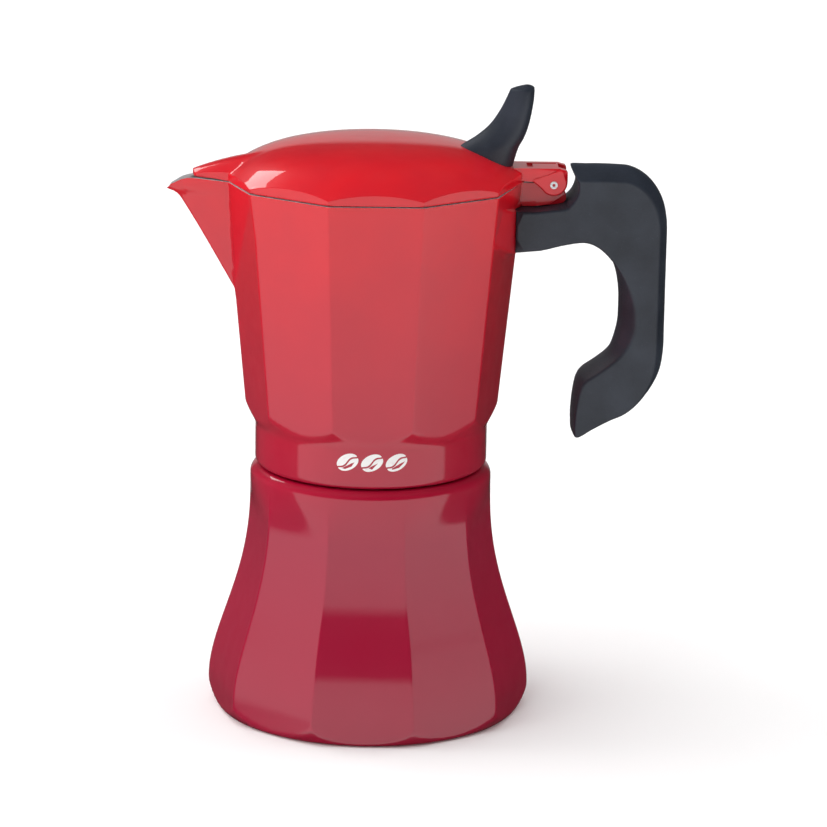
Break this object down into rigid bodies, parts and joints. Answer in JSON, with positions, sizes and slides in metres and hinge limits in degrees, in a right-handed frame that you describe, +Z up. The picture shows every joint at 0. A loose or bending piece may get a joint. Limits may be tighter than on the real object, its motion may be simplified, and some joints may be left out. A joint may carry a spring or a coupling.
{
  "type": "stove-top moka pot",
  "caption": "Faceted stove-top coffee maker: flared screw-on boiler, lipped jug with domed hinged lid, thumb knob and hooked side handle",
  "frame": {"origin": "centre of the flat underside of the boiler, on the pot's axis", "axes": "+Z up along the pot's axis, +X towards the handle, -X towards the spout, -Y is the front with the emblem"},
  "size_m": [0.1576, 0.0982, 0.2007],
  "materials": {
    "red_lacquer": "glossy baked lacquer on cast aluminium",
    "black_plastic": "fine-grained matte phenolic moulding",
    "bare_aluminium": "satin cast",
    "steel": "satin",
    "brass": "turned",
    "silicone": "matte",
    "fibre": "matte"
  },
  "bodies": {
    "boiler": {"boiler_shell": "red_lacquer", "induction_disc": "steel", "valve_body": "brass", "valve_washer": "fibre", "valve_seat": "brass", "valve_spring": "steel"},
    "valve": {"valve_piston": "steel"},
    "funnel": {"funnel": "bare_aluminium", "funnel_filter": "steel"},
    "gasket": {"gasket": "silicone"},
    "filter_plate": {"filter_plate": "steel"},
    "collector": {"collector_pot": "red_lacquer", "column": "bare_aluminium", "handle": "black_plastic", "handle_screw": "steel", "hinge_pin": "steel"},
    "lid": {"lid": "red_lacquer", "lid_knob": "black_plastic", "knob_screw": "steel", "knob_washer": "steel"}
  },
  "joints": [
    {"name": "valve_lift", "type": "slide", "parent": "boiler", "child": "valve", "axis": [0.0401, 0.9992, 0], "range_m": [0, 0.0015], "stiffness_N_per_m": 1500, "springref_m": -0.001, "deforming": ["valve_spring"]},
    {"name": "funnel_lift_out", "type": "slide", "parent": "boiler", "child": "funnel", "axis": [0, 0, 1], "range_m": [0, 0.09]},
    {"name": "collector_lift_off", "type": "slide", "parent": "funnel", "child": "gasket", "axis": [0, 0, 1], "range_m": [0, 0.06]},
    {"name": "thread_rise", "type": "slide", "parent": "gasket", "child": "filter_plate", "axis": [0, 0, 1], "range_m": [0, 0.00525]},
    {"name": "collector_turn", "type": "hinge", "parent": "filter_plate", "child": "collector", "pos_m": [0, 0, 0.085], "axis": [0, 0, 1], "range_deg": [0, 540]},
    {"name": "lid_hinge", "type": "hinge", "parent": "collector", "child": "lid", "pos_m": [0.0554, 0, 0.1698], "axis": [0, 1, 0], "range_deg": [0, 90]}
  ],
  "couplings": [
    {"joint": "collector_turn", "follows": "thread_rise", "rad_per_m": 1795.2}
  ]
}
